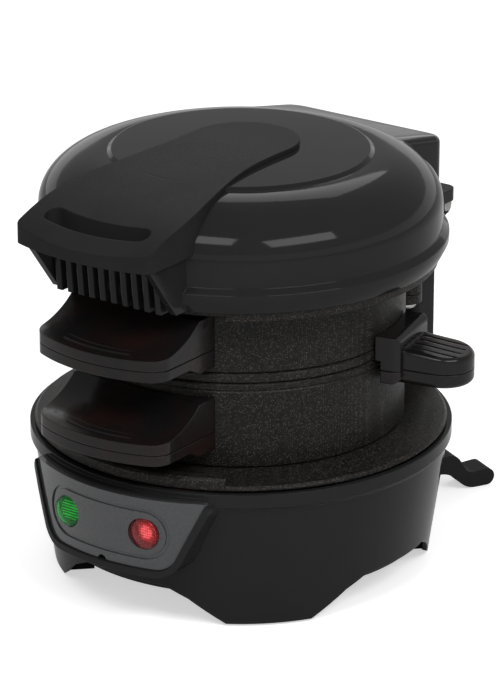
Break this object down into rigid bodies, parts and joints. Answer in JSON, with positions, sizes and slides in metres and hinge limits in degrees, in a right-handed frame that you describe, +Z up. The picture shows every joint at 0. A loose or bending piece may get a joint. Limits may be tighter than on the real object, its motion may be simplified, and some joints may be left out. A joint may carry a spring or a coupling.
{
  "type": "electric burger maker",
  "caption": "Countertop cooker with a heated base, stacked cooking rings with grip handles, a swing-out plate on a side lever and a hinged domed heated lid.",
  "frame": {"origin": "on the table under the middle of the whole footprint; the cooking axis stands at X -5.97 mm, Y -9.13 mm", "axes": "+Z up, -Y towards the user and the control panel, +X towards the plate lever"},
  "size_m": [0.182, 0.2292, 0.1746],
  "materials": {
    "gloss_housing": "gloss charcoal-black moulded plastic",
    "matte_housing": "satin charcoal-black moulded plastic",
    "inner_plastic": "fine matt black plastic",
    "panel_grey": "gloss metallic dark grey paint",
    "red_lens": "clear red ribbed lens",
    "green_lens": "clear green ribbed lens",
    "nonstick_plate": "speckled dark nonstick coating",
    "nonstick_ring": "textured speckled nonstick coating",
    "arm_steel": "black coated steel",
    "phenolic_handle": "polished black phenolic",
    "bright_steel": "zinc plated",
    "element_sheath": "dull heated steel",
    "shield_metal": "mill finish sheet",
    "foot_rubber": "matt",
    "terminal_ceramic": "glazed ceramic"
  },
  "bodies": {
    "base": {"base_housing": "gloss_housing", "hinge_tower": "matte_housing", "bottom_cover": "inner_plastic", "rear_stabiliser": "matte_housing", "rubber_feet": "foot_rubber", "control_panel": "panel_grey", "power_lamp": "red_lens", "preheat_lamp": "green_lens", "lamp_holders": "inner_plastic", "lower_heating_plate": "nonstick_plate", "lower_heating_element": "element_sheath", "heat_shield": "shield_metal", "thermostat": "bright_steel", "thermal_fuse": "bright_steel", "terminal_block": "terminal_ceramic", "cord_gland": "inner_plastic", "base_screws": "bright_steel", "hinge_pin": "bright_steel", "pin_clips": "bright_steel"},
    "lower_ring_group": {"lower_ring": "nonstick_ring", "lower_hinge_arm": "arm_steel", "lower_arm_rivets": "bright_steel", "lower_handle_top": "phenolic_handle", "lower_handle_bottom": "phenolic_handle", "lower_handle_screws": "bright_steel"},
    "upper_ring_group": {"upper_ring": "nonstick_ring", "upper_hinge_arm": "arm_steel", "upper_arm_rivets": "bright_steel", "upper_handle_top": "phenolic_handle", "upper_handle_bottom": "phenolic_handle", "upper_handle_screws": "bright_steel", "plate_pivot_pin": "bright_steel"},
    "cooking_plate_group": {"cooking_plate": "nonstick_plate", "plate_lever_top": "phenolic_handle", "plate_lever_bottom": "phenolic_handle", "lever_screw": "bright_steel"},
    "lid": {"lid_shell": "gloss_housing", "lid_handle": "matte_housing", "upper_heating_plate": "nonstick_plate", "upper_heating_element": "element_sheath", "lid_hinge_bracket": "arm_steel", "lid_screws": "bright_steel"}
  },
  "joints": [
    {"name": "lower_ring_lift", "type": "hinge", "parent": "base", "child": "lower_ring_group", "pos_m": [-0.00597, 0.08637, 0.1285], "axis": [-1, 0, 0], "range_deg": [0, 50]},
    {"name": "upper_ring_lift", "type": "hinge", "parent": "lower_ring_group", "child": "upper_ring_group", "pos_m": [-0.00597, 0.08637, 0.1285], "axis": [-1, 0, 0], "range_deg": [0, 35]},
    {"name": "lid_open", "type": "hinge", "parent": "upper_ring_group", "child": "lid", "pos_m": [-0.00597, 0.08637, 0.1285], "axis": [-1, 0, 0], "range_deg": [0, 95]},
    {"name": "cooking_plate_swing", "type": "hinge", "parent": "upper_ring_group", "child": "cooking_plate_group", "pos_m": [0.03033, 0.05374, 0.0993], "axis": [0, 0, 1], "range_deg": [0, 90]}
  ]
}
